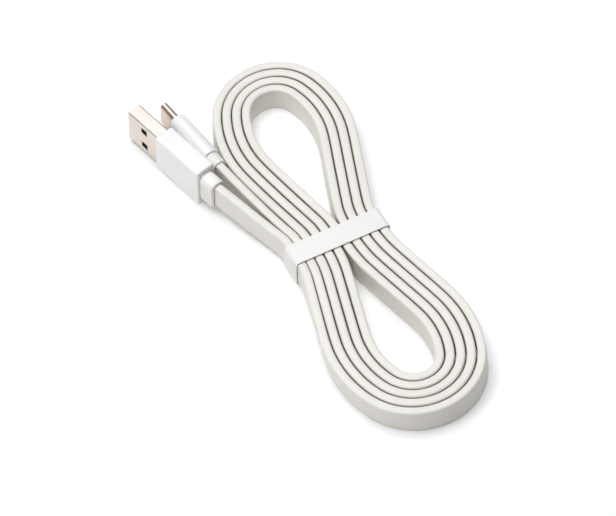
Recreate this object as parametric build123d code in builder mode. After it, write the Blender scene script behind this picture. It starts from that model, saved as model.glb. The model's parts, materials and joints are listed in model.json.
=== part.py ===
from build123d import *
import math
import os

# Charging cable: a flat white lead with a USB-A plug and a USB-C plug, wound on edge into a hank of
# two open lobes and held at the waist by a plain band. Millimetres, +Z up, the hank's long axis on Y.

os.makedirs("parts", exist_ok=True)

# Flat lead, standing on edge
RIBBON_HEIGHT = 8.2
RIBBON_THICK = 2.55
RIBBON_EDGE = 0.75
SIDE_PITCH = 2.97          # strand to strand at the waist and along the lobes' flanks
END_PITCH = 2.82           # strand to strand round the far ends, where the winding is pulled tight
STRANDS = 10
FREE_ENDS = 2              # strands at the bundle's left that leave it for the plugs

# Waist: the strands run side by side through the band
WAIST_X = 3.13
WAIST_Y = -0.83
WAIST_FRONT = -6.4         # the straight stretch of the bundle
WAIST_BACK = 4.1
WAIST_LIFT = 0.7           # the band's lower side passes under the bundle
WAIST_PINCH = 0.55         # how far the band presses the bundle's left side in
PINCH_REACH = 25.0
WAIST_CUT = 60.0           # clears the lobes' ends out of the waist, wider than both
JOINT_OVERLAP = 0.1

# Lobes. From the waist each strand leans outward on an arc, runs straight, comes round the flank
# and closes on the end arc. The sizes are those of the innermost winding's centre line.
TOP_LOBE = {
    "centre_x": WAIST_X + SIDE_PITCH,
    "direction": 1,
    "windings": 4,
    "straight": 2.5,
    "lean_radius": 26.8,
    "lean": 15.95,
    "run": 24.2,
    "flank_radius": 28.1,
    "flank_turn": 24.2,
    "skew": 0.083,
    "skew_start": 6.0,
    "mouth": 8.0,
    "pinch": 0.0,
}
BOTTOM_LOBE = {
    "centre_x": WAIST_X,
    "direction": -1,
    "windings": 5,
    "straight": 3.25,
    "lean_radius": 39.0,
    "lean": 14.8,
    "run": 20.25,
    "flank_radius": 24.2,
    "flank_turn": 22.8,
    "skew": -0.013,
    "skew_start": 0.0,
    "mouth": 12.0,
    "pinch": WAIST_PINCH,
}
LEAN_STEPS = 3
RUN_STEPS = 2
FLANK_STEPS = 5
END_STEPS = 5

# Retaining band
BAND_WIDTH = 7.0
BAND_BACK = 1.9
BAND_THICK = 0.5
BAND_CLEARANCE = 0.2
BAND_HEADROOM = 0.15
BAND_CORNER = 1.1

# USB-A plug, lying on its narrow side; lengths run from the overmould's rear face towards the tip
USB_A_X = -19.83
USB_A_Y = 34.14
USB_A_YAW = 14.0
A_MOULD_LENGTH = 18.35
A_MOULD_THICK = 6.4
A_MOULD_HEIGHT = 13.8
A_MOULD_CORNER = 0.7
A_MOULD_END_EDGE = 0.45
A_CORE_START = 1.0
A_SHELL_START = 9.5
A_SHELL_EXPOSED = 12.95
A_SHELL_WIDTH = 12.0
A_SHELL_THICK = 4.5
A_SHELL_WALL = 0.3
A_SHELL_CORNER = 0.6
A_WINDOW_LENGTH = 2.5
A_WINDOW_WIDTH = 2.3
A_WINDOW_AT = 24.4
A_WINDOW_SPREAD = 3.1
A_BLOCK_START = 11.5
A_BLOCK_END = 17.5
A_TONGUE_END = 30.7
A_TONGUE_GAP = 0.05        # clearance to the shell's inner wall
A_TONGUE_FACE = 0.1        # the tongue's contact face, across the plug
A_CONTACT_THICK = 0.25
A_CONTACT_WIDTH = 1.0
A_CONTACT_START = 8.0
A_POWER_CONTACT_END = 30.0
A_DATA_CONTACT_END = 29.0
A_POWER_CONTACT_Y = 3.5
A_DATA_CONTACT_Y = 1.0
A_WIRE_RADIUS = 0.5
A_WIRE_END = 11.2
A_WIRE_GAP = 0.05          # from a wire to the contact it is soldered to
A_OUTER_WIRE_Y = 3.0
A_INNER_WIRE_Y = 1.0
A_RELIEF_LENGTH = 5.2
A_RELIEF_THICK = 4.9
A_RELIEF_HEIGHT = 10.2
A_RELIEF_CORNER = 1.8
A_RELIEF_EDGE = 0.5

# USB-C plug, lying on its narrow side beside the other one
USB_C_X = -14.61
USB_C_Y = 41.24
USB_C_YAW = 8.0
C_MOULD_LENGTH = 16.9
C_MOULD_THICK = 5.8
C_MOULD_HEIGHT = 10.8
C_MOULD_END_EDGE = 0.5
C_CORE_START = 1.0
C_CORE_HEIGHT = 9.4
C_CORE_THICK = 3.9
C_SHELL_START = 13.0
C_SHELL_EXPOSED = 6.65
C_SHELL_WIDTH = 8.34
C_SHELL_THICK = 2.56
C_SHELL_WALL = 0.25
C_BODY_START = 14.0
C_BODY_RECESS = 0.6
C_MOUTH_DEPTH = 5.8
C_MOUTH_WIDTH = 6.9
C_MOUTH_THICK = 0.9
C_CONTACT_THICK = 0.15
C_CONTACT_WIDTH = 0.25
C_CONTACT_PITCH = 0.5
C_CONTACT_START = 11.8
C_CONTACT_END = 22.3
C_UPPER_POSITIONS = (1, 4, 5, 6, 7, 9, 12)
C_LOWER_POSITIONS = (1, 4, 9, 12)
C_MIDDLE_POSITION = 6.5
C_BOARD_THICK = 0.8
C_BOARD_WIDTH = 7.4
C_BOARD_START = 7.0
C_BOARD_END = 13.6
C_RESISTOR_THICK = 0.35
C_RESISTOR_WIDTH = 1.0
C_RESISTOR_LENGTH = 0.5
C_RESISTOR_Y = 1.5
C_RESISTOR_AT = 10.4
C_LATCH_INNER = 3.5
C_LATCH_ARM = 0.25
C_LATCH_HEIGHT = 0.6
C_LATCH_BAR_START = 13.65
C_LATCH_BAR_END = 14.0
C_LATCH_END = 21.6
C_LATCH_HOOK = 0.3
C_LATCH_HOOK_LENGTH = 0.6
C_SPRING_THICK = 0.13
C_SPRING_WIDTH = 4.0
C_SPRING_START = 19.0
C_SPRING_END = 21.6
C_WIRE_RADIUS = 0.45
C_WIRE_END = 9.3
C_OUTER_WIRE_Y = 2.7
C_INNER_WIRE_Y = 0.9
C_RELIEF_LENGTH = 4.3
C_RELIEF_THICK = 5.0
C_RELIEF_HEIGHT = 9.7
C_RELIEF_EDGE = 0.5

# Free ends of the lead, from inside each plug to the bundle, chosen by hand
LEAD_A_ROUTE = [
    (-20.072, 35.110, 6.90),
    (-18.441, 28.571, 6.90),
    (-16.760, 24.200, 6.45),
    (-14.110, 17.120, 5.60),
    (-11.410, 10.600, 4.95),
    (-10.090, 7.250, 4.80),
    (-9.685, 5.500, 4.80),
    (-9.685, WAIST_BACK, 4.80),
]
LEAD_C_ROUTE = [
    (-14.749, 42.230, 5.40),
    (-13.753, 35.140, 5.40),
    (-12.290, 27.300, 5.25),
    (-10.660, 19.400, 5.05),
    (-9.030, 12.800, 4.90),
    (-8.000, 9.100, 4.80),
    (-7.350, 6.900, 4.80),
    (-7.035, 5.500, 4.80),
    (-7.035, WAIST_BACK, 4.80),
]
ARC_SHARE = 0.45           # how much of the shorter run each bend may use


def plug_plane(x, y, height, yaw):
    """The plane of a plug's rear face: local z points to the tip, local y up, local x to the left."""
    angle = math.radians(yaw)
    return Plane(
        origin=(x, y, height / 2),
        x_dir=(-math.cos(angle), -math.sin(angle), 0),
        z_dir=(-math.sin(angle), math.cos(angle), 0),
    )


USB_A = plug_plane(USB_A_X, USB_A_Y, A_MOULD_HEIGHT, USB_A_YAW)
USB_C = plug_plane(USB_C_X, USB_C_Y, C_MOULD_HEIGHT, USB_C_YAW)
USB_A_AXIS = Axis(USB_A.origin, USB_A.z_dir)
USB_C_AXIS = Axis(USB_C.origin, USB_C.z_dir)
A_TIP = A_MOULD_LENGTH + A_SHELL_EXPOSED
C_TIP = C_MOULD_LENGTH + C_SHELL_EXPOSED

pieces = {}


# ---------------------------------------------------------------- the hank

def lobe_side(lobe, winding, face):
    """One side of a winding from the waist to the lobe's far end, as (out from the axis, along it).

    face moves the line off the winding's centre, outward if positive.
    """
    lean = math.radians(lobe["lean"])
    turn = math.radians(lobe["flank_turn"])
    out = SIDE_PITCH / 2
    along = lobe["straight"]
    flank_start = out + lobe["lean_radius"] * (1 - math.cos(lean)) + lobe["run"] * math.sin(lean)
    past_axis = lobe["flank_radius"] * math.cos(lean) - flank_start
    end_radius = lobe["flank_radius"] - past_axis / math.cos(turn)
    stretches = [
        (lobe["lean_radius"], lean, LEAN_STEPS),
        (lobe["run"], 0, RUN_STEPS),
        (lobe["flank_radius"], -lean - turn, FLANK_STEPS),
        (end_radius, turn - math.pi / 2, END_STEPS),
    ]
    heading = 0.0
    line = []
    for size, bend, steps in stretches:
        for step in range(steps):
            line.append((out, along, heading))
            half = bend / steps / 2
            chord = 2 * size * math.sin(abs(half)) if bend else size / steps
            out += chord * math.sin(heading + half)
            along += chord * math.cos(heading + half)
            heading += 2 * half
    line.append((out, along, heading))
    points = []
    for out, along, heading in line:
        tight = math.sin(min(heading, 0)) ** 2
        spread = winding * (SIDE_PITCH + (END_PITCH - SIDE_PITCH) * tight) + face
        points.append((out + spread * math.cos(heading), along - spread * math.sin(heading)))
    return points


def lobe_outline(lobe, winding, face, start=0.0):
    """A winding's line round the whole lobe, left side first, in the part's own X and Y."""
    side = [point for point in lobe_side(lobe, winding, face) if point[1] >= start]
    left_pinch = lobe["pinch"] * (winding / (lobe["windings"] - 1)) ** 3
    outline = []
    for sign, points, pinch in ((-1, side[:-1], left_pinch), (1, side[::-1], 0)):
        for out, along in points:
            skew = lobe["skew"] * (math.hypot(along, lobe["skew_start"]) - lobe["skew_start"])
            pressed = pinch * math.exp(-(along / PINCH_REACH) ** 2)
            x = lobe["centre_x"] + sign * out + skew + pressed
            y = WAIST_Y + lobe["direction"] * along
            outline.append((x, y))
    return outline


bundle_left = WAIST_X - (STRANDS - 1) / 2 * SIDE_PITCH - RIBBON_THICK / 2 + WAIST_PINCH
bundle_right = WAIST_X + (STRANDS - 1) / 2 * SIDE_PITCH + RIBBON_THICK / 2
bundle_middle = (bundle_left + bundle_right) / 2
bundle_width = bundle_right - bundle_left
waist_length = WAIST_BACK - WAIST_FRONT

with BuildPart() as cable_hank:
    for lobe in (TOP_LOBE, BOTTOM_LOBE):
        outer = lobe_outline(lobe, lobe["windings"] - 1, RIBBON_THICK / 2)
        with BuildSketch(Plane.XY):
            with BuildLine():
                Spline(*outer)
                Line(outer[-1], outer[0])
            make_face()
        extrude(amount=RIBBON_HEIGHT)
    for lobe in (TOP_LOBE, BOTTOM_LOBE):
        inner = lobe_outline(lobe, 0, -RIBBON_THICK / 2, start=lobe["mouth"])
        with BuildSketch(Plane.XY):
            with BuildLine():
                Spline(*inner)
                Line(inner[-1], inner[0])
            make_face()
        extrude(amount=RIBBON_HEIGHT, mode=Mode.SUBTRACT)
    with BuildSketch(Plane.XY):
        with Locations((bundle_middle, (WAIST_FRONT + WAIST_BACK) / 2)):
            Rectangle(WAIST_CUT, waist_length)
    extrude(amount=RIBBON_HEIGHT, mode=Mode.SUBTRACT)
    with BuildSketch(Plane.XZ.offset(-WAIST_BACK)):
        with Locations((bundle_middle, WAIST_LIFT + RIBBON_HEIGHT / 2)):
            RectangleRounded(bundle_width, RIBBON_HEIGHT, RIBBON_EDGE)
    extrude(amount=waist_length + JOINT_OVERLAP)
    lobe_left = bundle_right - (STRANDS - 1 - FREE_ENDS) * SIDE_PITCH - RIBBON_THICK
    with BuildSketch(Plane.XZ.offset(-WAIST_BACK)):
        with Locations(((lobe_left + bundle_right) / 2, WAIST_LIFT + RIBBON_HEIGHT / 2)):
            RectangleRounded(bundle_right - lobe_left, RIBBON_HEIGHT, RIBBON_EDGE)
    extrude(amount=-JOINT_OVERLAP)
pieces["cable_hank"] = cable_hank.part


# ---------------------------------------------------------------- the leads

def bend_radii(route):
    """The largest bend that the two runs at each inner point of a route allow."""
    points = [Vector(*point) for point in route]
    radii = []
    for before, corner, after in zip(points, points[1:], points[2:]):
        run_in = corner - before
        run_out = after - corner
        half_turn = math.radians(run_in.get_angle(run_out)) / 2
        radii.append(ARC_SHARE * min(run_in.length, run_out.length) / math.tan(half_turn))
    return radii


def lead_tube(name, route):
    """A flat lead on edge along straight runs joined by tangent arcs."""
    radii = bend_radii(route)
    with BuildPart() as tube:
        with BuildLine():
            path = FilletPolyline(*route, radius=radii)
        along = path % 0
        start = Plane(origin=path @ 0, x_dir=along.cross(Vector(0, 0, 1)), z_dir=along)
        with BuildSketch(start):
            RectangleRounded(RIBBON_THICK, RIBBON_HEIGHT, RIBBON_EDGE)
        sweep(path=path)
    section = RIBBON_THICK * RIBBON_HEIGHT - (4 - math.pi) * RIBBON_EDGE**2
    expected = section * path.length
    rounded = ", ".join(f"{radius:.0f}" for radius in radii)
    print(f"{name}: bends {rounded} mm, length {path.length:.1f} mm, "
          f"volume {tube.part.volume:.0f} of {expected:.0f} mm3")
    return tube.part


pieces["lead_usb_a"] = lead_tube("lead_usb_a", LEAD_A_ROUTE)
pieces["lead_usb_c"] = lead_tube("lead_usb_c", LEAD_C_ROUTE)


# ---------------------------------------------------------------- the band

band_inner_width = bundle_width + 2 * BAND_CLEARANCE
band_inner_height = RIBBON_HEIGHT + 2 * BAND_HEADROOM
band_centre_z = WAIST_LIFT + RIBBON_HEIGHT / 2

with BuildPart() as cable_band:
    with BuildSketch(Plane.XZ.offset(-BAND_BACK)):
        with Locations((bundle_middle, band_centre_z)):
            RectangleRounded(
                band_inner_width + 2 * BAND_THICK,
                band_inner_height + 2 * BAND_THICK,
                BAND_CORNER + BAND_THICK,
            )
            RectangleRounded(band_inner_width, band_inner_height, BAND_CORNER, mode=Mode.SUBTRACT)
    extrude(amount=BAND_WIDTH)
pieces["cable_band"] = cable_band.part


# ---------------------------------------------------------------- shared plug pieces

def block(plane, start, end, centre, size):
    """A straight bar along a plug, between two stations, with a rectangular section."""
    with BuildPart() as bar:
        with BuildSketch(plane.offset(start)):
            with Locations(*centre):
                Rectangle(*size)
        extrude(amount=end - start)
    return bar.part


def wire(plane, start, end, centre, radius):
    """One insulated conductor from the end of the lead's jacket to where it is soldered."""
    with BuildPart() as core:
        with BuildSketch(plane.offset(start)):
            with Locations(centre):
                Circle(radius)
        extrude(amount=end - start)
    return core.part


def end_edges(builder, axis):
    """The edges round a plug piece's rear face and front face."""
    faces = builder.faces().sort_by(axis)
    return faces[0].edges() + faces[-1].edges()


# ---------------------------------------------------------------- USB-A plug

with BuildPart() as usb_a_shell:
    with BuildSketch(USB_A.offset(A_SHELL_START)):
        RectangleRounded(A_SHELL_THICK, A_SHELL_WIDTH, A_SHELL_CORNER)
        RectangleRounded(
            A_SHELL_THICK - 2 * A_SHELL_WALL,
            A_SHELL_WIDTH - 2 * A_SHELL_WALL,
            A_SHELL_CORNER - A_SHELL_WALL,
            mode=Mode.SUBTRACT,
        )
    extrude(amount=A_TIP - A_SHELL_START)
    with BuildSketch(Plane(origin=USB_A.origin, x_dir=USB_A.z_dir, z_dir=USB_A.x_dir)):
        with Locations((A_WINDOW_AT, A_WINDOW_SPREAD), (A_WINDOW_AT, -A_WINDOW_SPREAD)):
            Rectangle(A_WINDOW_LENGTH, A_WINDOW_WIDTH)
    extrude(amount=A_SHELL_THICK, both=True, mode=Mode.SUBTRACT)
pieces["usb_a_shell"] = usb_a_shell.part

contact_x = A_TONGUE_FACE + A_CONTACT_THICK / 2
contact_size = (A_CONTACT_THICK, A_CONTACT_WIDTH)
pieces["usb_a_power_contacts"] = block(
    USB_A, A_CONTACT_START, A_POWER_CONTACT_END,
    [(contact_x, A_POWER_CONTACT_Y), (contact_x, -A_POWER_CONTACT_Y)], contact_size,
)
pieces["usb_a_data_contacts"] = block(
    USB_A, A_CONTACT_START, A_DATA_CONTACT_END,
    [(contact_x, A_DATA_CONTACT_Y), (contact_x, -A_DATA_CONTACT_Y)], contact_size,
)

tongue_width = A_SHELL_WIDTH - 2 * A_SHELL_WALL - 2 * A_TONGUE_GAP
tongue_back = A_SHELL_THICK / 2 - A_SHELL_WALL - A_TONGUE_GAP
with BuildPart() as usb_a_tongue:
    with BuildSketch(USB_A.offset(A_BLOCK_START)):
        RectangleRounded(2 * tongue_back, tongue_width, A_SHELL_CORNER - A_SHELL_WALL)
    extrude(amount=A_BLOCK_END - A_BLOCK_START)
    with BuildSketch(USB_A.offset(A_BLOCK_END)):
        with Locations(((tongue_back + A_TONGUE_FACE) / 2, 0)):
            Rectangle(tongue_back - A_TONGUE_FACE, tongue_width - 2 * A_SHELL_CORNER)
    extrude(amount=A_TONGUE_END - A_BLOCK_END)
    add(pieces["usb_a_power_contacts"], mode=Mode.SUBTRACT)
    add(pieces["usb_a_data_contacts"], mode=Mode.SUBTRACT)
pieces["usb_a_tongue"] = usb_a_tongue.part

wire_x = A_TONGUE_FACE - A_WIRE_GAP - A_WIRE_RADIUS
for name, height in (
    ("usb_a_power_wire", -A_OUTER_WIRE_Y),
    ("usb_a_data_minus_wire", -A_INNER_WIRE_Y),
    ("usb_a_data_plus_wire", A_INNER_WIRE_Y),
    ("usb_a_ground_wire", A_OUTER_WIRE_Y),
):
    pieces[name] = wire(USB_A, A_CORE_START, A_WIRE_END, (wire_x, height), A_WIRE_RADIUS)

with BuildPart() as usb_a_inner_mould:
    with BuildSketch(USB_A.offset(A_CORE_START)):
        RectangleRounded(A_SHELL_THICK, A_SHELL_WIDTH, A_SHELL_CORNER)
    extrude(amount=A_SHELL_START - A_CORE_START)
    with BuildSketch(USB_A.offset(A_SHELL_START)):
        RectangleRounded(
            A_SHELL_THICK - 2 * A_SHELL_WALL,
            A_SHELL_WIDTH - 2 * A_SHELL_WALL,
            A_SHELL_CORNER - A_SHELL_WALL,
        )
    extrude(amount=A_BLOCK_START - A_SHELL_START)
    for name in (
        "usb_a_power_contacts",
        "usb_a_data_contacts",
        "usb_a_power_wire",
        "usb_a_data_minus_wire",
        "usb_a_data_plus_wire",
        "usb_a_ground_wire",
    ):
        add(pieces[name], mode=Mode.SUBTRACT)
pieces["usb_a_inner_mould"] = usb_a_inner_mould.part

with BuildPart() as usb_a_overmould:
    with BuildSketch(USB_A):
        RectangleRounded(A_MOULD_THICK, A_MOULD_HEIGHT, A_MOULD_CORNER)
    extrude(amount=A_MOULD_LENGTH)
    fillet(end_edges(usb_a_overmould, USB_A_AXIS), radius=A_MOULD_END_EDGE)
    with BuildSketch(USB_A.offset(A_CORE_START)):
        RectangleRounded(A_SHELL_THICK, A_SHELL_WIDTH, A_SHELL_CORNER)
    extrude(amount=A_MOULD_LENGTH - A_CORE_START, mode=Mode.SUBTRACT)
    with BuildSketch(USB_A):
        RectangleRounded(RIBBON_THICK, RIBBON_HEIGHT, RIBBON_EDGE)
    extrude(amount=A_CORE_START, mode=Mode.SUBTRACT)
pieces["usb_a_overmould"] = usb_a_overmould.part

with BuildPart() as usb_a_strain_relief:
    with BuildSketch(USB_A.offset(-A_RELIEF_LENGTH)):
        RectangleRounded(A_RELIEF_THICK, A_RELIEF_HEIGHT, A_RELIEF_CORNER)
    extrude(amount=A_RELIEF_LENGTH)
    fillet(usb_a_strain_relief.faces().sort_by(USB_A_AXIS)[0].edges(), radius=A_RELIEF_EDGE)
    with BuildSketch(USB_A.offset(-A_RELIEF_LENGTH)):
        RectangleRounded(RIBBON_THICK, RIBBON_HEIGHT, RIBBON_EDGE)
    extrude(amount=A_RELIEF_LENGTH, mode=Mode.SUBTRACT)
pieces["usb_a_strain_relief"] = usb_a_strain_relief.part


# ---------------------------------------------------------------- USB-C plug

with BuildPart() as usb_c_shell:
    with BuildSketch(USB_C.offset(C_SHELL_START)):
        SlotOverall(C_SHELL_WIDTH, C_SHELL_THICK, rotation=90)
        SlotOverall(
            C_SHELL_WIDTH - 2 * C_SHELL_WALL,
            C_SHELL_THICK - 2 * C_SHELL_WALL,
            rotation=90,
            mode=Mode.SUBTRACT,
        )
    extrude(amount=C_TIP - C_SHELL_START)
pieces["usb_c_shell"] = usb_c_shell.part


def contact_row(positions, side):
    """The contacts of one row, side 1 on the plug's left face and -1 on its right face."""
    x = side * (C_BOARD_THICK + C_CONTACT_THICK) / 2
    centres = [(x, (C_MIDDLE_POSITION - position) * C_CONTACT_PITCH) for position in positions]
    return block(
        USB_C, C_CONTACT_START, C_CONTACT_END, centres, (C_CONTACT_THICK, C_CONTACT_WIDTH)
    )


pieces["usb_c_upper_contacts"] = contact_row(C_UPPER_POSITIONS, 1)
pieces["usb_c_lower_contacts"] = contact_row(C_LOWER_POSITIONS, -1)
pieces["usb_c_board"] = block(
    USB_C, C_BOARD_START, C_BOARD_END, [(0, 0)], (C_BOARD_THICK, C_BOARD_WIDTH)
)
pieces["usb_c_resistor"] = block(
    USB_C, C_RESISTOR_AT, C_RESISTOR_AT + C_RESISTOR_LENGTH,
    [(-(C_BOARD_THICK + C_RESISTOR_THICK) / 2, C_RESISTOR_Y)],
    (C_RESISTOR_THICK, C_RESISTOR_WIDTH),
)

latch_middle = C_LATCH_INNER + C_LATCH_ARM / 2
with BuildPart() as usb_c_latch:
    with BuildSketch(USB_C.offset(C_LATCH_BAR_START)):
        Rectangle(C_LATCH_HEIGHT, 2 * (C_LATCH_INNER + C_LATCH_ARM))
    extrude(amount=C_LATCH_BAR_END - C_LATCH_BAR_START)
    with BuildSketch(USB_C.offset(C_LATCH_BAR_END)):
        with Locations((0, latch_middle), (0, -latch_middle)):
            Rectangle(C_LATCH_HEIGHT, C_LATCH_ARM)
    extrude(amount=C_LATCH_END - C_LATCH_BAR_END)
    hook_middle = C_LATCH_INNER - C_LATCH_HOOK / 2
    with BuildSketch(USB_C.offset(C_LATCH_END)):
        with Locations((0, hook_middle), (0, -hook_middle)):
            Rectangle(C_LATCH_HEIGHT, C_LATCH_HOOK)
    extrude(amount=-C_LATCH_HOOK_LENGTH)
pieces["usb_c_latch"] = usb_c_latch.part

body_width = C_SHELL_WIDTH - 2 * C_SHELL_WALL
body_thick = C_SHELL_THICK - 2 * C_SHELL_WALL
spring_x = (body_thick - C_SPRING_THICK) / 2
pieces["usb_c_ground_springs"] = block(
    USB_C, C_SPRING_START, C_SPRING_END,
    [(spring_x, 0), (-spring_x, 0)], (C_SPRING_THICK, C_SPRING_WIDTH),
)

body_end = C_TIP - C_BODY_RECESS
with BuildPart() as usb_c_contact_body:
    with BuildSketch(USB_C.offset(C_BODY_START)):
        SlotOverall(body_width, body_thick, rotation=90)
    extrude(amount=body_end - C_BODY_START)
    with BuildSketch(USB_C.offset(body_end - C_MOUTH_DEPTH)):
        Rectangle(C_MOUTH_THICK, C_MOUTH_WIDTH)
    extrude(amount=C_MOUTH_DEPTH, mode=Mode.SUBTRACT)
    for name in ("usb_c_upper_contacts", "usb_c_lower_contacts", "usb_c_latch", "usb_c_ground_springs"):
        add(pieces[name], mode=Mode.SUBTRACT)
pieces["usb_c_contact_body"] = usb_c_contact_body.part

wire_x = C_BOARD_THICK / 2 + C_WIRE_RADIUS
for name, height in (
    ("usb_c_power_wire", C_OUTER_WIRE_Y),
    ("usb_c_data_minus_wire", C_INNER_WIRE_Y),
    ("usb_c_data_plus_wire", -C_INNER_WIRE_Y),
    ("usb_c_ground_wire", -C_OUTER_WIRE_Y),
):
    pieces[name] = wire(USB_C, C_CORE_START, C_WIRE_END, (wire_x, height), C_WIRE_RADIUS)

with BuildPart() as usb_c_inner_mould:
    with BuildSketch(USB_C.offset(C_CORE_START)):
        SlotOverall(C_CORE_HEIGHT, C_CORE_THICK, rotation=90)
    extrude(amount=C_SHELL_START - C_CORE_START)
    for name in (
        "usb_c_board",
        "usb_c_resistor",
        "usb_c_upper_contacts",
        "usb_c_lower_contacts",
        "usb_c_power_wire",
        "usb_c_data_minus_wire",
        "usb_c_data_plus_wire",
        "usb_c_ground_wire",
    ):
        add(pieces[name], mode=Mode.SUBTRACT)
pieces["usb_c_inner_mould"] = usb_c_inner_mould.part

with BuildPart() as usb_c_overmould:
    with BuildSketch(USB_C):
        SlotOverall(C_MOULD_HEIGHT, C_MOULD_THICK, rotation=90)
    extrude(amount=C_MOULD_LENGTH)
    fillet(end_edges(usb_c_overmould, USB_C_AXIS), radius=C_MOULD_END_EDGE)
    with BuildSketch(USB_C.offset(C_CORE_START)):
        SlotOverall(C_CORE_HEIGHT, C_CORE_THICK, rotation=90)
    extrude(amount=C_SHELL_START - C_CORE_START, mode=Mode.SUBTRACT)
    with BuildSketch(USB_C.offset(C_SHELL_START)):
        SlotOverall(C_SHELL_WIDTH, C_SHELL_THICK, rotation=90)
    extrude(amount=C_MOULD_LENGTH - C_SHELL_START, mode=Mode.SUBTRACT)
    with BuildSketch(USB_C):
        RectangleRounded(RIBBON_THICK, RIBBON_HEIGHT, RIBBON_EDGE)
    extrude(amount=C_CORE_START, mode=Mode.SUBTRACT)
pieces["usb_c_overmould"] = usb_c_overmould.part

with BuildPart() as usb_c_strain_relief:
    with BuildSketch(USB_C.offset(-C_RELIEF_LENGTH)):
        SlotOverall(C_RELIEF_HEIGHT, C_RELIEF_THICK, rotation=90)
    extrude(amount=C_RELIEF_LENGTH)
    fillet(usb_c_strain_relief.faces().sort_by(USB_C_AXIS)[0].edges(), radius=C_RELIEF_EDGE)
    with BuildSketch(USB_C.offset(-C_RELIEF_LENGTH)):
        RectangleRounded(RIBBON_THICK, RIBBON_HEIGHT, RIBBON_EDGE)
    extrude(amount=C_RELIEF_LENGTH, mode=Mode.SUBTRACT)
pieces["usb_c_strain_relief"] = usb_c_strain_relief.part


# ---------------------------------------------------------------- output

for name, piece in pieces.items():
    piece.label = name
    export_step(piece, f"parts/{name}.step")

whole = Compound(children=list(pieces.values())).bounding_box()
print(f"X {whole.min.X:.2f} to {whole.max.X:.2f}, Y {whole.min.Y:.2f} to {whole.max.Y:.2f}, "
      f"Z {whole.min.Z:.2f} to {whole.max.Z:.2f}, {len(pieces)} pieces")
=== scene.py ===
import json
import math

import bmesh
import bpy
from mathutils import Matrix, Vector, kdtree, noise


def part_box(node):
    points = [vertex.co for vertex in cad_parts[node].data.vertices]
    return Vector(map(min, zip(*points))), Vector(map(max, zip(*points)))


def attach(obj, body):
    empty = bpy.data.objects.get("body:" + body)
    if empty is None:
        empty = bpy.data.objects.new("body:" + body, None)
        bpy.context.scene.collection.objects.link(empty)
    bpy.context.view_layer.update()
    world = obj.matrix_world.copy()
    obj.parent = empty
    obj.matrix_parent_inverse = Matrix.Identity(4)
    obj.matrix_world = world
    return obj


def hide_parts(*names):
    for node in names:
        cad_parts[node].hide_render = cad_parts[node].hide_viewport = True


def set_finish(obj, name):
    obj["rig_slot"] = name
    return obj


# The looks of the charging cable: one flat ribbon wound into a figure-eight hank, its band and its
# two plugs. Metres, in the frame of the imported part.

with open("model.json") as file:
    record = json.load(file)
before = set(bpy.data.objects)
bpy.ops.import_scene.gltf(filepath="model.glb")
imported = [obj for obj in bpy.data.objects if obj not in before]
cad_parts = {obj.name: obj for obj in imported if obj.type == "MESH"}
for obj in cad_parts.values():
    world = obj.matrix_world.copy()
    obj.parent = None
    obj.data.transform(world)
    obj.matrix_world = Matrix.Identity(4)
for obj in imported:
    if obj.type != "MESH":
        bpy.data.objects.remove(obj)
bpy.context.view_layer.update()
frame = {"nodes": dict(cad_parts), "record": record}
record = frame["record"]
mounts = {mount["name"]: mount for mount in record["mounts"]}

# Flat lead, standing on edge
RIBBON_HEIGHT = 0.0082
RIBBON_THICK = 0.00255
RIBBON_EDGE = 0.00068
SIDE_PITCH = 0.00297
END_PITCH = 0.00282
RIBBON_UNEVEN = 0.00005       # how much its lower edge rises and falls along its length
RIBBON_TILT = 0.7             # how much it leans to either side, in degrees
UNEVEN_WAVES = 60             # how often the edge rises and falls, per metre
TILT_WAVES = 45
HELD_LENGTH = 0.02            # each end is held straight by its plug over this length
NEAR_TURN = 0.0031            # a turn closer than this gives the face beside it full painted shade, and one further than this gives it none
FAR_TURN = 0.0042             # and one further than this doesn't

# Waist and lobes, close to the part's own sizes
WAIST_X = 0.00313
WAIST_Y = -0.00083
WAIST_LIFT = 0.0007
WAIST_PINCH = 0.00050         # how far the band presses the bundle's left side in
PINCH_REACH = 0.025
LIFT_NEAR = 0.0048            # the bundle comes down to the floor between these distances
LIFT_FAR = 0.0150
TOP_LOBE = {
    "centre_x": WAIST_X + SIDE_PITCH,
    "direction": 1,
    "straight": 0.0025,
    "lean_radius": 0.0268,
    "lean": 15.95,
    "run": 0.0242,
    "flank_radius": 0.0281,
    "flank_turn": 24.2,
    "skew": 0.083,
    "skew_start": 0.006,
    "pinch": 0.0,
    "foot": (0.0, 0.0),
}
BOTTOM_LOBE = {
    "centre_x": WAIST_X,
    "direction": -1,
    "straight": 0.00325,
    "lean_radius": 0.039,
    "lean": 14.8,
    "run": 0.02025,
    "flank_radius": 0.0242,
    "flank_turn": 22.8,
    "skew": -0.013,
    "skew_start": 0.0,
    "pinch": WAIST_PINCH,
    "foot": (0.00035, 0.00100),
}
FOOT_TO = Vector((0.880, -0.474, 0))    # the way the bottom lobe's strands slip at the foot
LEAN_STEPS = 3
RUN_STEPS = 2
FLANK_STEPS = 5
END_STEPS = 5
OUTER_WINDING = 4
WINDING_ORDER = [
    (BOTTOM_LOBE, 4),
    (TOP_LOBE, 3),
    (BOTTOM_LOBE, 2),
    (TOP_LOBE, 1),
    (BOTTOM_LOBE, 0),
    (TOP_LOBE, 0),
    (BOTTOM_LOBE, 1),
    (TOP_LOBE, 2),
    (BOTTOM_LOBE, 3),
]

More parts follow.
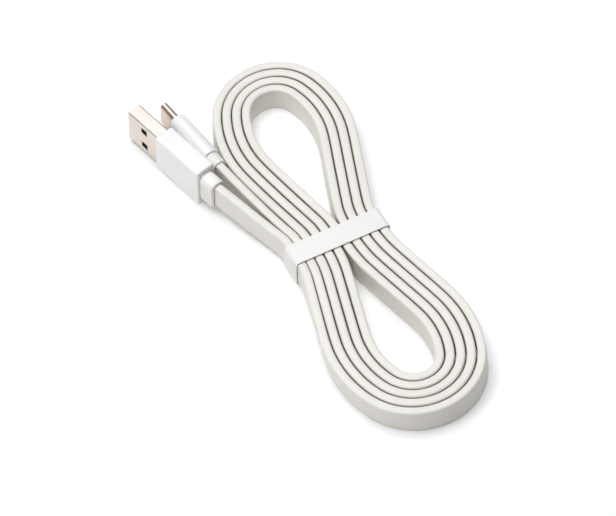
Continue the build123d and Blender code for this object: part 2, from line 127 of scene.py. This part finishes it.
# Free ends, from inside each plug to the bundle
LEAD_A_ROUTE = [
    (-0.020072, 0.035110, 0.00690),
    (-0.018441, 0.028571, 0.00690),
    (-0.016760, 0.024200, 0.00645),
    (-0.014210, 0.017120, 0.00560),
    (-0.011800, 0.010600, 0.00495),
    (-0.010550, 0.007000, 0.00480),
    (-0.009830, 0.004700, 0.00480),
    (-0.009735, 0.003000, 0.00480),
]
LEAD_C_ROUTE = [
    (-0.014749, 0.042230, 0.00540),
    (-0.013753, 0.035140, 0.00540),
    (-0.012290, 0.027300, 0.00525),
    (-0.010760, 0.019400, 0.00505),
    (-0.009280, 0.012800, 0.00490),
    (-0.008330, 0.009100, 0.00480),
    (-0.007620, 0.006600, 0.00480),
    (-0.007140, 0.004700, 0.00480),
    (-0.007055, 0.003000, 0.00480),
]


# ---------------------------------------------------------------- mesh helpers

SHARP_ANGLE = math.radians(40)
HOLE_RIM = 0.00008            # the narrow chamfer round a hole


def rounded_profile(width, height, radius, corner_steps=6):
    """Points anticlockwise round a rounded rectangle centred on 0, 0."""
    points = []
    for quarter, (side_x, side_y) in enumerate(((1, 1), (-1, 1), (-1, -1), (1, -1))):
        centre_x = side_x * (width / 2 - radius)
        centre_y = side_y * (height / 2 - radius)
        for step in range(corner_steps + 1):
            angle = math.radians(90 * (quarter + step / corner_steps))
            points.append((centre_x + radius * math.cos(angle), centre_y + radius * math.sin(angle)))
    return points


def skin(name, rings, closed=False):
    """An object whose smooth quads join rings of equal count, with caps unless it closes on itself."""
    count = len(rings[0])
    faces = []
    for ring in range(len(rings) if closed else len(rings) - 1):
        after = (ring + 1) % len(rings)
        for point in range(count):
            beside = (point + 1) % count
            faces.append((ring * count + point, ring * count + beside,
                          after * count + beside, after * count + point))
    if not closed:
        faces.append(tuple(range(count)))
        faces.append(tuple((len(rings) - 1) * count + point for point in range(count)))
    mesh = bpy.data.meshes.new(name)
    mesh.from_pydata([point for ring in rings for point in ring], [], faces)
    build = bmesh.new()
    build.from_mesh(mesh)
    bmesh.ops.recalc_face_normals(build, faces=build.faces)
    build.to_mesh(mesh)
    build.free()
    mesh.shade_smooth()
    mesh.set_sharp_from_angle(angle=SHARP_ANGLE)
    obj = bpy.data.objects.new(name, mesh)
    bpy.context.scene.collection.objects.link(obj)
    return obj


def loft(name, place, sections, corner_steps=6):
    """A body through rounded sections, each (station, width, height, corner), in a plug's frame."""
    rings = []
    for station, width, height, corner in sections:
        profile = rounded_profile(width, height, corner, corner_steps)
        rings.append([place @ Vector((x, y, station)) for x, y in profile])
    return skin(name, rings)


def rounded_end(station, toward, width, height, corner, edge, steps=4):
    """Sections that round a body over into its end face, from the full section outward."""
    sections = []
    for step in range(steps + 1):
        angle = math.pi / 2 * step / steps
        inset = edge * (1 - math.cos(angle))
        back = edge * (1 - math.sin(angle))
        sections.append((station - toward * back, width - 2 * inset, height - 2 * inset,
                         corner - inset))
    return sections


def opening(station, toward, width, height, corner, gap, depth):
    """Sections that lead from an end face into a hole round a piece of the given section."""
    wide = (width + 2 * gap, height + 2 * gap, corner + gap)
    return [
        (station, wide[0] + 2 * HOLE_RIM, wide[1] + 2 * HOLE_RIM, wide[2] + HOLE_RIM),
        (station - toward * HOLE_RIM, *wide),
        (station - toward * depth, *wide),
    ]


# ---------------------------------------------------------------- the ribbon

def lobe_side(lobe, winding):
    """One side of a winding from the waist to the lobe's far end, as (out from the axis, along it)."""
    lean = math.radians(lobe["lean"])
    turn = math.radians(lobe["flank_turn"])
    out = SIDE_PITCH / 2
    along = lobe["straight"]
    flank_start = out + lobe["lean_radius"] * (1 - math.cos(lean)) + lobe["run"] * math.sin(lean)
    past_axis = lobe["flank_radius"] * math.cos(lean) - flank_start
    end_radius = lobe["flank_radius"] - past_axis / math.cos(turn)
    stretches = [
        (lobe["lean_radius"], lean, LEAN_STEPS),
        (lobe["run"], 0, RUN_STEPS),
        (lobe["flank_radius"], -lean - turn, FLANK_STEPS),
        (end_radius, turn - math.pi / 2, END_STEPS),
    ]
    heading = 0.0
    line = []
    for size, bend, steps in stretches:
        for step in range(steps):
            line.append((out, along, heading))
            half = bend / steps / 2
            chord = 2 * size * math.sin(abs(half)) if bend else size / steps
            out += chord * math.sin(heading + half)
            along += chord * math.cos(heading + half)
            heading += 2 * half
    line.append((out, along, heading))
    points = []
    for out, along, heading in line:
        tight = math.sin(min(heading, 0)) ** 2
        spread = winding * (SIDE_PITCH + (END_PITCH - SIDE_PITCH) * tight)
        points.append((out + spread * math.cos(heading), along - spread * math.sin(heading)))
    return points


def lobe_turn(lobe, winding):
    """A winding's control points round the whole lobe, left side first, each with its foot's slip."""
    side = lobe_side(lobe, winding)
    left_pinch = lobe["pinch"] * (winding / OUTER_WINDING) ** 3
    inner_foot, outer_foot = lobe["foot"]
    turn = []
    for sign, points, pinch in ((-1, side[:-1], left_pinch), (1, side[::-1], 0)):
        for out, along in points:
            skew = lobe["skew"] * (math.hypot(along, lobe["skew_start"]) - lobe["skew_start"])
            pressed = pinch * math.exp(-(along / PINCH_REACH) ** 2)
            x = lobe["centre_x"] + sign * out + skew + pressed
            y = WAIST_Y + lobe["direction"] * along
            away = min(max((along - LIFT_NEAR) / (LIFT_FAR - LIFT_NEAR), 0), 1)
            away = away * away * (3 - 2 * away)
            foot = away * (inner_foot + (outer_foot - inner_foot) * winding / OUTER_WINDING)
            turn.append((x, y, RIBBON_HEIGHT / 2 + WAIST_LIFT * (1 - away), foot))
    return turn


stations = [(*point, 0) for point in LEAD_A_ROUTE]
for lobe, winding in WINDING_ORDER:
    turn = lobe_turn(lobe, winding)
    if abs(turn[-1][0] - stations[-1][0]) < abs(turn[0][0] - stations[-1][0]):
        turn.reverse()
    stations += turn
stations += [(*point, 0) for point in LEAD_C_ROUTE[::-1]]
route = [station[:3] for station in stations]

line = bpy.data.curves.new("ribbon_line", "CURVE")
line.dimensions = "3D"
line.resolution_u = 6
spline = line.splines.new("NURBS")
spline.points.add(len(route) - 1)
for point, place in zip(spline.points, route):
    point.co = (*place, 1)
spline.order_u = 3
spline.use_endpoint_u = True
line_object = bpy.data.objects.new("ribbon_line", line)
line_mesh = bpy.data.meshes.new_from_object(line_object)
path = [vertex.co.copy() for vertex in line_mesh.vertices]
bpy.data.objects.remove(line_object)

travelled = [0.0]
for before, after in zip(path, path[1:]):
    travelled.append(travelled[-1] + (after - before).length)

up = Vector((0, 0, 1))
outline = rounded_profile(RIBBON_THICK, RIBBON_HEIGHT, RIBBON_EDGE, 7)
neighbours = kdtree.KDTree(len(path))
for index, point in enumerate(path):
    neighbours.insert(point, index)
neighbours.balance()


def shelter(point, aside):
    """How close another turn lies on one side of the ribbon, from 0 for none to 1 for beside it: the
    amount of painted shade on that side.
    """
    nearest = neighbours.find(point + aside * SIDE_PITCH)[0] - point
    beyond = (nearest.dot(aside) - NEAR_TURN) / (FAR_TURN - NEAR_TURN)
    beside = nearest.length < 2 * FAR_TURN and nearest.dot(aside) > SIDE_PITCH / 2
    return min(max(1 - beyond, 0), 1) if beside else 0


rings = []
painted_gap_shade = []
for index, (point, distance) in enumerate(zip(path, travelled)):
    ahead = path[min(index + 1, len(path) - 1)]
    behind = path[max(index - 1, 0)]
    along = (ahead - behind).normalized()
    across = up.cross(along).normalized()
    held = min(distance, travelled[-1] - distance, HELD_LENGTH) / HELD_LENGTH
    rise = RIBBON_UNEVEN * held * (1 + noise.noise(Vector((distance * UNEVEN_WAVES, 3.7, 0))))
    tilt = math.radians(RIBBON_TILT) * held * noise.noise(Vector((distance * TILT_WAVES, 0, 8.3)))
    at, share = divmod(index * (len(stations) - 1) / (len(path) - 1), 1)
    after = min(int(at) + 1, len(stations) - 1)
    foot = stations[int(at)][3] * (1 - share) + stations[after][3] * share
    tilt += foot * across.dot(FOOT_TO) / RIBBON_HEIGHT
    side = across * math.cos(tilt) + up * math.sin(tilt)
    rising = up * math.cos(tilt) - across * math.sin(tilt)
    centre = point + up * (rise + RIBBON_HEIGHT / 2) - rising * RIBBON_HEIGHT / 2
    ring = [centre + side * x + rising * y for x, y in outline]
    sunk = up * max(0, -min(corner.z for corner in ring))
    rings.append([corner + sunk for corner in ring])
    painted_gap_shade.append((shelter(point, across), shelter(point, -across)))
ribbon = skin("cable_ribbon", rings)

# The jacket's own coordinates: round its section, along its length, and how much painted shade each
# face gets where another turn lies beside it
grain = ribbon.data.attributes.new("jacket", "FLOAT_VECTOR", "POINT")
round_section = [0.0]
for (x0, y0), (x1, y1) in zip(outline, outline[1:]):
    round_section.append(round_section[-1] + math.hypot(x1 - x0, y1 - y0))
flat = RIBBON_HEIGHT / 2 - RIBBON_EDGE
for index, distance in enumerate(travelled):
    for step, ((x, y), around) in enumerate(zip(outline, round_section)):
        # The flat sides of the ribbon get painted shade where another turn lies close beside them
        painted_shade = painted_gap_shade[index][0 if x > 0 else 1] if abs(y) < flat + RIBBON_EDGE / 3 else 0
        grain.data[index * len(outline) + step].vector = (around, distance, painted_shade)

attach(ribbon, "cable")
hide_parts("cable_hank", "lead_usb_a", "lead_usb_c")
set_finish(ribbon, "cable_jacket")


# ---------------------------------------------------------------- the band

BAND_ROUND = 0.00012          # rounding of the band's own edges
BAND_WALL = 0.00040           # thin enough to clear the strands at both of the band's limits
BAND_CORNER = 0.0013

low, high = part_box("cable_band")
band_centre = (low + high) / 2
band_profile = rounded_profile(high.x - low.x - BAND_WALL, high.z - low.z - BAND_WALL,
                               BAND_CORNER - BAND_WALL / 2, 8)
edge_profile = rounded_profile(BAND_WALL, high.y - low.y, BAND_ROUND, 4)
rings = []
for index, (x, z) in enumerate(band_profile):
    before = band_profile[index - 1]
    after = band_profile[(index + 1) % len(band_profile)]
    outward = Vector((after[1] - before[1], 0, before[0] - after[0])).normalized()
    middle = band_centre + Vector((x, 0, z))
    rings.append([middle + outward * a + Vector((0, b, 0)) for a, b in edge_profile])
band = skin("band_strap", rings, closed=True)
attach(band, "band")
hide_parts("cable_band")
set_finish(band, "band")


# ---------------------------------------------------------------- the plugs

def plug_frame(mount, length):
    """A plug's frame at the overmould's rear face: z to the tip, y up, x to the left."""
    axis = Vector(mount["axis"]).normalized()
    left = up.cross(axis)
    origin = Vector(mount["pos_m"]) - axis * length
    place = Matrix((left, up, axis)).transposed().to_4x4()
    place.translation = origin
    return place


def joined(*parts):
    """The sections of several stretches of one body, in order."""
    return [section for part in parts for section in part]


A_LENGTH = 0.01835
A_TIP = 0.0313
A_SECTION = (0.0064, 0.0138, 0.0007)
A_SHELL = (0.0045, 0.0120, 0.0006)
A_RELIEF_LENGTH = 0.0052
A_RELIEF = (0.0049, 0.0102, 0.0018)
C_LENGTH = 0.0169
C_TIP = 0.02355
C_SECTION = (0.0058, 0.0108, 0.0029)
C_SHELL = (0.00256, 0.00834, 0.00128)
C_RELIEF_LENGTH = 0.0043
C_RELIEF = (0.0050, 0.0097, 0.0025)
RIBBON = (RIBBON_THICK, RIBBON_HEIGHT, RIBBON_EDGE)
SHELL_GAP = 0.00006
SHELL_RECESS = 0.0016
RIBBON_GAP = 0.00009
RIBBON_RECESS = 0.0012
A_GRIP_EDGE = 0.00045
OTHER_EDGES = 0.0005          # rounding of the other grip's and both collars' end faces
NECK = 0.00028                # the groove between a grip and its strain relief
NECK_LENGTH = 0.00030


def overmould(name, place, length, section, shell, edge, steps):
    """A grip: rounded rear and front faces, and a recess round the metal shell."""
    sections = joined(
        rounded_end(0, -1, *section, edge)[::-1],
        rounded_end(length, 1, *section, edge),
        opening(length, 1, *shell, SHELL_GAP, SHELL_RECESS),
    )
    return loft(name, place, sections, steps)


def strain_relief(name, place, length, section, edge, steps):
    """A collar behind a grip: a groove at the grip, and a rounded end that the ribbon comes out of."""
    width, height, corner = section
    neck = (width - 2 * NECK, height - 2 * NECK, corner - NECK)
    sections = joined(
        [(0, *neck), (-NECK_LENGTH, *neck)],
        rounded_end(-NECK_LENGTH, 1, *section, NECK / 2)[::-1],
        rounded_end(-length, -1, *section, edge),
        opening(-length, -1, *RIBBON, RIBBON_GAP, RIBBON_RECESS),
    )
    return loft(name, place, sections, steps)


usb_a = plug_frame(mounts["usb_a_plug"], A_TIP)
usb_c = plug_frame(mounts["usb_c_plug"], C_TIP)
grip_a = overmould("grip_usb_a", usb_a, A_LENGTH, A_SECTION, A_SHELL, A_GRIP_EDGE, 6)
relief_a = strain_relief("relief_usb_a", usb_a, A_RELIEF_LENGTH, A_RELIEF, OTHER_EDGES, 8)
grip_c = overmould("grip_usb_c", usb_c, C_LENGTH, C_SECTION, C_SHELL, OTHER_EDGES, 12)
relief_c = strain_relief("relief_usb_c", usb_c, C_RELIEF_LENGTH, C_RELIEF, OTHER_EDGES, 12)
for piece, node, slot in (
    (grip_a, "usb_a_overmould", "plug_mould"),
    (relief_a, "usb_a_strain_relief", "strain_relief"),
    (grip_c, "usb_c_overmould", "plug_mould"),
    (relief_c, "usb_c_strain_relief", "strain_relief"),
):
    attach(piece, "cable")
    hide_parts(node)
    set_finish(piece, slot)

WELD_DISTANCE = 0.000001
BEVEL_ANGLE = math.radians(50)
for name, width in (
    ("usb_a_shell", 0.00012),
    ("usb_a_tongue", 0.00006),
    ("usb_c_shell", 0.00010),
    ("usb_c_contact_body", 0.00004),
):
    shell = frame["nodes"][name]
    weld = shell.modifiers.new("weld", "WELD")
    weld.merge_threshold = WELD_DISTANCE
    bevel = shell.modifiers.new("bevel", "BEVEL")
    bevel.width = width
    bevel.segments = 3
    bevel.limit_method = "ANGLE"
    bevel.angle_limit = BEVEL_ANGLE
    bevel.use_clamp_overlap = True
    smooth = shell.modifiers.new("normals", "WEIGHTED_NORMAL")
    smooth.keep_sharp = False


# ---------------------------------------------------------------- materials

def node_material(name):
    """A material with a principled shader, and the lines to add nodes to it."""
    made = bpy.data.materials.new(name)
    made.use_nodes = True
    tree = made.node_tree
    return made, tree, tree.nodes["Principled BSDF"]


def add_noise(tree, vector, scale, detail=3.0, roughness=0.5):
    """A noise texture of the given scale, and its value's socket."""
    made = tree.nodes.new("ShaderNodeTexNoise")
    made.inputs["Scale"].default_value = scale
    made.inputs["Detail"].default_value = detail
    made.inputs["Roughness"].default_value = roughness
    tree.links.new(vector, made.inputs["Vector"])
    return made.outputs["Fac"]


def add_range(tree, value, low, high, from_low=0.3, from_high=0.7):
    """A value moved from the middle of a noise's range to low and high."""
    made = tree.nodes.new("ShaderNodeMapRange")
    made.inputs["From Min"].default_value = from_low
    made.inputs["From Max"].default_value = from_high
    made.inputs["To Min"].default_value = low
    made.inputs["To Max"].default_value = high
    tree.links.new(value, made.inputs["Value"])
    return made.outputs["Result"]


def add_mix(tree, factor, first, second):
    """A colour between two, by a factor."""
    made = tree.nodes.new("ShaderNodeMix")
    made.data_type = "RGBA"
    made.inputs["A"].default_value = (*first, 1)
    made.inputs["B"].default_value = (*second, 1)
    tree.links.new(factor, made.inputs["Factor"])
    return made.outputs["Result"]


def add_bump(tree, height, depth, strength, before=None):
    """A bump of the given depth in metres on top of another one."""
    made = tree.nodes.new("ShaderNodeBump")
    made.inputs["Strength"].default_value = strength
    made.inputs["Distance"].default_value = depth
    tree.links.new(height, made.inputs["Height"])
    if before:
        tree.links.new(before, made.inputs["Normal"])
    return made.outputs["Normal"]


def place_of(tree):
    """The piece's own coordinates, in metres."""
    return tree.nodes.new("ShaderNodeTexCoord").outputs["Object"]


def stretched(tree, vector, turn, scale):
    """Coordinates turned about Z and then scaled, for marks that run one way."""
    turned = tree.nodes.new("ShaderNodeMapping")
    turned.inputs["Rotation"].default_value = (0, 0, turn)
    tree.links.new(vector, turned.inputs["Vector"])
    scaled = tree.nodes.new("ShaderNodeMapping")
    scaled.inputs["Scale"].default_value = scale
    tree.links.new(turned.outputs["Vector"], scaled.inputs["Vector"])
    return scaled.outputs["Vector"]


def moulded(name, colour, other, roughness, grain, depth, specular=0.5):
    """A moulded or extruded plastic: faint cloudy colour, patchy gloss and a fine grain."""
    made, tree, shader = node_material(name)
    place = place_of(tree)
    clouds = add_range(tree, add_noise(tree, place, 90, 4), 0, 1)
    tree.links.new(add_mix(tree, clouds, colour, other), shader.inputs["Base Color"])
    gloss = add_range(tree, add_noise(tree, place, 260, 2), roughness - 0.03, roughness + 0.03)
    tree.links.new(gloss, shader.inputs["Roughness"])
    fine = add_noise(tree, place, grain, 3, 0.6)
    tree.links.new(add_bump(tree, fine, depth, 0.4), shader.inputs["Normal"])
    shader.inputs["Specular IOR Level"].default_value = specular
    return made


def plated(name, colour, other, roughness, turn):
    """A plated, lightly brushed metal: the brush marks run along the plug."""
    made, tree, shader = node_material(name)
    place = place_of(tree)
    marks = add_noise(tree, stretched(tree, place, turn, (14000, 700, 14000)), 1.0, 3, 0.5)
    stains = add_noise(tree, stretched(tree, place, turn, (420, 90, 420)), 1.0, 3)
    tree.links.new(add_mix(tree, add_range(tree, stains, 0, 1), colour, other),
                   shader.inputs["Base Color"])
    gloss = add_range(tree, marks, roughness - 0.02, roughness + 0.03)
    tree.links.new(gloss, shader.inputs["Roughness"])
    tree.links.new(add_bump(tree, marks, 0.0000008, 0.3), shader.inputs["Normal"])
    shader.inputs["Metallic"].default_value = 1.0
    return made


def jacket(name, colour, other, painted_shade, roughness):
    """The extruded jacket: faint die lines along its length, a fine matte grain, cloudy colour.

    The faces that another turn lies close beside are given a darker, browner colour: painted shade in
    the gaps between turns.
    """
    made, tree, shader = node_material(name)
    place = place_of(tree)
    own = tree.nodes.new("ShaderNodeAttribute")
    own.attribute_name = "jacket"
    lines = add_noise(tree, stretched(tree, own.outputs["Vector"], 0, (4200, 40, 0)), 1.0, 3, 0.6)
    fine = add_noise(tree, place, 5200, 3, 0.65)
    clouds = add_range(tree, add_noise(tree, place, 70, 4), 0, 1)
    # Painted shade: the colour goes towards the shade colour on faces with another turn close beside
    # them
    parts = tree.nodes.new("ShaderNodeSeparateXYZ")
    tree.links.new(own.outputs["Vector"], parts.inputs["Vector"])
    between = tree.nodes.new("ShaderNodeMix")
    between.data_type = "RGBA"
    between.inputs["B"].default_value = (*painted_shade, 1)
    tree.links.new(parts.outputs["Z"], between.inputs["Factor"])
    tree.links.new(add_mix(tree, clouds, colour, other), between.inputs["A"])
    tree.links.new(between.outputs["Result"], shader.inputs["Base Color"])
    gloss = add_range(tree, add_noise(tree, place, 380, 3), roughness - 0.06, roughness + 0.06)
    tree.links.new(gloss, shader.inputs["Roughness"])
    ribbed = add_bump(tree, lines, 0.000012, 0.5)
    tree.links.new(add_bump(tree, fine, 0.000010, 0.5, ribbed), shader.inputs["Normal"])
    shader.inputs["Specular IOR Level"].default_value = 0.45
    return made


turn_a = -math.atan2(-usb_a[0][2], usb_a[1][2])
turn_c = -math.atan2(-usb_c[0][2], usb_c[1][2])
# The jacket's third colour is the painted shade for the faces between turns
finishes = {"cable_jacket": jacket(
    "cable_jacket", (0.731, 0.694, 0.636), (0.756, 0.720, 0.662), (0.49, 0.40, 0.33), 0.46)}
# Plastics: colour, cloudy colour, roughness, grain, the grain's depth and, where it isn't 0.5, gloss
for name, *look in (
    ("band", (0.780, 0.755, 0.723), (0.797, 0.772, 0.740), 0.55, 3600, 0.000008),
    ("plug_mould", (0.829, 0.802, 0.788), (0.842, 0.816, 0.797), 0.32, 2600, 0.000002),
    ("strain_relief", (0.772, 0.742, 0.697), (0.790, 0.760, 0.714), 0.42, 3200, 0.000006),
    ("inner_mould", (0.72, 0.72, 0.66), (0.80, 0.80, 0.74), 0.45, 1800, 0.000015),
    ("dark_insulator", (0.006, 0.004, 0.003), (0.010, 0.007, 0.005), 0.55, 5200, 0.000010, 0.06),
    ("circuit_board", (0.02, 0.16, 0.06), (0.03, 0.21, 0.08), 0.32, 2400, 0.000012),
    ("resistor_body", (0.03, 0.03, 0.035), (0.05, 0.05, 0.055), 0.40, 5200, 0.000008),
    ("wire_red", (0.55, 0.03, 0.02), (0.62, 0.05, 0.03), 0.40, 4200, 0.000006),
    ("wire_black", (0.02, 0.02, 0.02), (0.035, 0.035, 0.035), 0.40, 4200, 0.000006),
    ("wire_green", (0.03, 0.30, 0.08), (0.05, 0.36, 0.11), 0.40, 4200, 0.000006),
    ("wire_white", (0.75, 0.75, 0.73), (0.82, 0.82, 0.80), 0.40, 4200, 0.000006),
):
    finishes[name] = moulded(name, *look)
# Metals: colour, stained colour, roughness and the turn of the brush marks
for name, *look in (
    ("usb_a_plating", (0.700, 0.622, 0.560), (0.726, 0.650, 0.588), 0.36, turn_a),
    ("usb_c_plating", (0.69, 0.57, 0.48), (0.74, 0.62, 0.53), 0.34, turn_c),
    ("contact_gold", (0.83, 0.62, 0.25), (0.90, 0.70, 0.32), 0.20, turn_a),
    ("spring_steel", (0.60, 0.60, 0.60), (0.68, 0.67, 0.66), 0.28, turn_c),
):
    finishes[name] = plated(name, *look)
for subpart in record["subparts"]:
    node = frame["nodes"][subpart["node"]]
    node.data.materials.clear()
    node.data.materials.append(finishes[subpart["material_slot"]])
for piece in (ribbon, band, grip_a, relief_a, grip_c, relief_c):
    piece.data.materials.append(finishes[piece["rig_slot"]])


# ---------------------------------------------------------------- floor, light and camera

FLOOR_SIZE = 6.0
FLOOR_DROP = 0.00002          # keeps the floor's face clear of the part's underside
PAPER = (0.830, 0.818, 0.806)
PAPER_FLECKS = (0.845, 0.833, 0.821)
PAPER_GLOW = 0.12
floor_mesh = bpy.data.meshes.new("floor")
half = FLOOR_SIZE / 2
floor_mesh.from_pydata([(-half, -half, 0), (half, -half, 0), (half, half, 0), (-half, half, 0)], [],
                       [(0, 1, 2, 3)])
floor = bpy.data.objects.new("floor", floor_mesh)
floor.location.z = -FLOOR_DROP
bpy.context.scene.collection.objects.link(floor)
floor_finish, tree, shader = node_material("floor")
paper = add_noise(tree, place_of(tree), 900, 3)
tree.links.new(add_mix(tree, paper, PAPER, PAPER_FLECKS), shader.inputs["Base Color"])
shader.inputs["Roughness"].default_value = 0.9
shader.inputs["Specular IOR Level"].default_value = 0.1
shader.inputs["Emission Color"].default_value = (1, 1, 1, 1)
shader.inputs["Emission Strength"].default_value = PAPER_GLOW
floor_mesh.materials.append(floor_finish)

HORIZON = 0.0                 # the sky's strength at eye level and overhead
ZENITH = 0.13
DAYLIGHT = (0.965, 0.997, 1.03)      # a slightly cool studio light
world = bpy.data.worlds.new("studio")
world.use_nodes = True
tree = world.node_tree
direction = tree.nodes.new("ShaderNodeTexCoord").outputs["Generated"]
parts = tree.nodes.new("ShaderNodeSeparateXYZ")
tree.links.new(direction, parts.inputs["Vector"])
tree.links.new(add_range(tree, parts.outputs["Z"], HORIZON, ZENITH, 0.0, 0.9),
               tree.nodes["Background"].inputs["Strength"])
tree.nodes["Background"].inputs["Color"].default_value = (*DAYLIGHT, 1)
bpy.context.scene.world = world


def area_light(name, place, aim, size, power):
    """A square soft light that looks at a point."""
    data = bpy.data.lights.new(name, "AREA")
    data.size = size
    data.energy = power
    data.color = DAYLIGHT
    light = bpy.data.objects.new(name, data)
    light.location = place
    light.rotation_euler = (Vector(aim) - Vector(place)).to_track_quat("-Z", "Y").to_euler()
    bpy.context.scene.collection.objects.link(light)


area_light("overhead", (-0.10, 0.10, 0.95), (0, 0, 0), 0.8, 10.2)
area_light("left", (-0.85, -0.10, 0.36), (0, 0, 0), 0.5, 2.05)
area_light("behind", (0.27, 0.50, 0.76), (0, 0, 0), 0.5, 1.1)

VIEW_TURN = math.radians(-28.3)
VIEW_HEIGHT = math.radians(53.0)
VIEW_DISTANCE = 0.9348
VIEW_TARGET = Vector((-0.00424, 0.00167, 0))
LENS = 192.86                 # millimetres, on a sensor of the width below
SENSOR_WIDTH = 36
back = Vector((math.sin(VIEW_TURN) * math.cos(VIEW_HEIGHT),
               -math.cos(VIEW_TURN) * math.cos(VIEW_HEIGHT),
               math.sin(VIEW_HEIGHT)))
camera = bpy.data.objects.new("camera", bpy.data.cameras.new("camera"))
camera.data.lens = LENS
camera.data.sensor_width = SENSOR_WIDTH
camera.data.clip_start = 0.01
camera.data.clip_end = 20
camera.location = VIEW_TARGET + back * VIEW_DISTANCE
camera.rotation_euler = (-back).to_track_quat("-Z", "Y").to_euler()
bpy.context.scene.collection.objects.link(camera)
bpy.context.scene.camera = camera
bpy.context.scene.view_settings.view_transform = "Standard"
